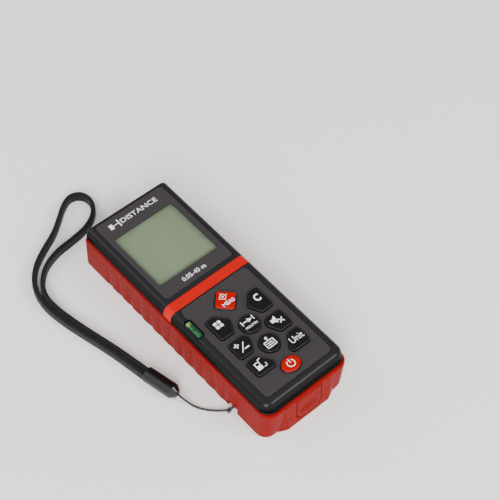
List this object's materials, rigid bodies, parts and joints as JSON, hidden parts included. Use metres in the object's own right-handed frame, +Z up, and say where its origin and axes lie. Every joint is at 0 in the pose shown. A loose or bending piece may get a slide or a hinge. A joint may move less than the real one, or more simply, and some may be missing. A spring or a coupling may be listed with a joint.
{
  "type": "laser distance meter",
  "caption": "Handheld laser distance meter: red ribbed shell, black cover with square display, keypad, side bubble vial, hinged port flap at the tail and a woven wrist strap.",
  "frame": {"origin": "middle of the footprint of the meter without its strap, on the surface it lies on", "axes": "+Z up through the display, +Y towards the end the laser leaves, +X to the right of someone reading the display"},
  "size_m": [0.0713, 0.1449, 0.0233],
  "materials": {
    "red_shell": "matte soft-touch",
    "black_cover": "satin",
    "red_band": "satin gloss",
    "grey_seal": "matte",
    "panel_grey": "fine matte",
    "clear_window": "clear",
    "lcd": "satin",
    "white_plastic": "matte",
    "dark_plastic": "matte",
    "key_rubber": "satin",
    "key_red": "satin gloss",
    "silicone": "matte",
    "circuit_board": "solder mask",
    "gold_contact": "plated",
    "steel": "zinc plated",
    "bright_steel": "bright",
    "cell_foil": "foil",
    "foam": "matte",
    "wire_red": "satin",
    "wire_black": "satin",
    "bench_metal": "cast",
    "brass_part": "turned",
    "lens": "coated",
    "vial_clear": "clear",
    "vial_fluid": "tinted",
    "legend_print": "print",
    "label": "satin",
    "woven": "woven",
    "barrel_plastic": "satin gloss"
  },
  "bodies": {
    "root": {"backlight_plate": "white_plastic", "battery_cell": "cell_foil", "battery_pad": "foam", "battery_plug": "white_plastic", "battery_wire_black": "wire_black", "battery_wire_red": "wire_red", "bench_screws": "steel", "board_screws": "steel", "buzzer": "dark_plastic", "casing_screws": "steel", "charge_board": "circuit_board", "charge_board_screws": "steel", "circuit_chips": "dark_plastic", "collimator_lens": "lens", "contact_pads": "gold_contact", "cross_band": "red_band", "display_fascia": "panel_grey", "display_window": "clear_window", "front_cover": "black_cover", "header_pins": "gold_contact", "housing_seal": "grey_seal", "key_mat": "silicone", "keypad_panel": "panel_grey", "laser_barrel": "brass_part", "laser_diode": "bright_steel", "laser_window": "lens", "lcd_frame": "white_plastic", "lcd_glass": "lcd", "level_fluid": "vial_fluid", "level_vial": "vial_clear", "main_board": "circuit_board", "optical_bench": "bench_metal", "optics_faceplate": "black_cover", "photodiode": "bright_steel", "rear_housing": "red_shell", "rear_label": "label", "receiver_lens": "lens", "receiver_window": "lens", "strap_barrel": "barrel_plastic", "strap_knot": "woven", "strap_pin": "bright_steel", "strap_string": "woven", "strap_webbing": "woven", "usb_socket": "bright_steel", "usb_tongue": "dark_plastic", "zebra_strip": "silicone"},
    "measure_key": {"measure_key": "key_rubber", "measure_key_cap": "key_red"},
    "power_key": {"power_key": "key_rubber", "power_key_cap": "key_red"},
    "clear_key": {"clear_key": "key_rubber"},
    "function_key": {"function_key": "key_rubber"},
    "min_max_key": {"min_max_key": "key_rubber"},
    "plus_minus_key": {"plus_minus_key": "key_rubber"},
    "mute_key": {"mute_key": "key_rubber"},
    "history_key": {"history_key": "key_rubber"},
    "reference_key": {"reference_key": "key_rubber"},
    "unit_key": {"unit_key": "key_rubber"},
    "port_flap": {"port_flap": "red_shell"}
  },
  "joints": [
    {"name": "measure_press", "type": "slide", "parent": "root", "child": "measure_key", "axis": [0, 0, -1], "range_m": [0, 0.0008], "stiffness_N_per_m": 1900, "springref_m": -0.0002},
    {"name": "power_press", "type": "slide", "parent": "root", "child": "power_key", "axis": [0, 0, -1], "range_m": [0, 0.0008], "stiffness_N_per_m": 1900, "springref_m": -0.0002},
    {"name": "clear_press", "type": "slide", "parent": "root", "child": "clear_key", "axis": [0, 0, -1], "range_m": [0, 0.0008], "stiffness_N_per_m": 1900, "springref_m": -0.0002},
    {"name": "function_press", "type": "slide", "parent": "root", "child": "function_key", "axis": [0, 0, -1], "range_m": [0, 0.0008], "stiffness_N_per_m": 1900, "springref_m": -0.0002},
    {"name": "min_max_press", "type": "slide", "parent": "root", "child": "min_max_key", "axis": [0, 0, -1], "range_m": [0, 0.0008], "stiffness_N_per_m": 1900, "springref_m": -0.0002},
    {"name": "plus_minus_press", "type": "slide", "parent": "root", "child": "plus_minus_key", "axis": [0, 0, -1], "range_m": [0, 0.0008], "stiffness_N_per_m": 1900, "springref_m": -0.0002},
    {"name": "mute_press", "type": "slide", "parent": "root", "child": "mute_key", "axis": [0, 0, -1], "range_m": [0, 0.0008], "stiffness_N_per_m": 1900, "springref_m": -0.0002},
    {"name": "history_press", "type": "slide", "parent": "root", "child": "history_key", "axis": [0, 0, -1], "range_m": [0, 0.0008], "stiffness_N_per_m": 1900, "springref_m": -0.0002},
    {"name": "reference_press", "type": "slide", "parent": "root", "child": "reference_key", "axis": [0, 0, -1], "range_m": [0, 0.0008], "stiffness_N_per_m": 1900, "springref_m": -0.0002},
    {"name": "unit_press", "type": "slide", "parent": "root", "child": "unit_key", "axis": [0, 0, -1], "range_m": [0, 0.0008], "stiffness_N_per_m": 1900, "springref_m": -0.0002},
    {"name": "flap_hinge", "type": "hinge", "parent": "root", "child": "port_flap", "pos_m": [0, -0.0553, 0.0146], "axis": [-1, 0, 0], "range_deg": [0, 100]}
  ]
}
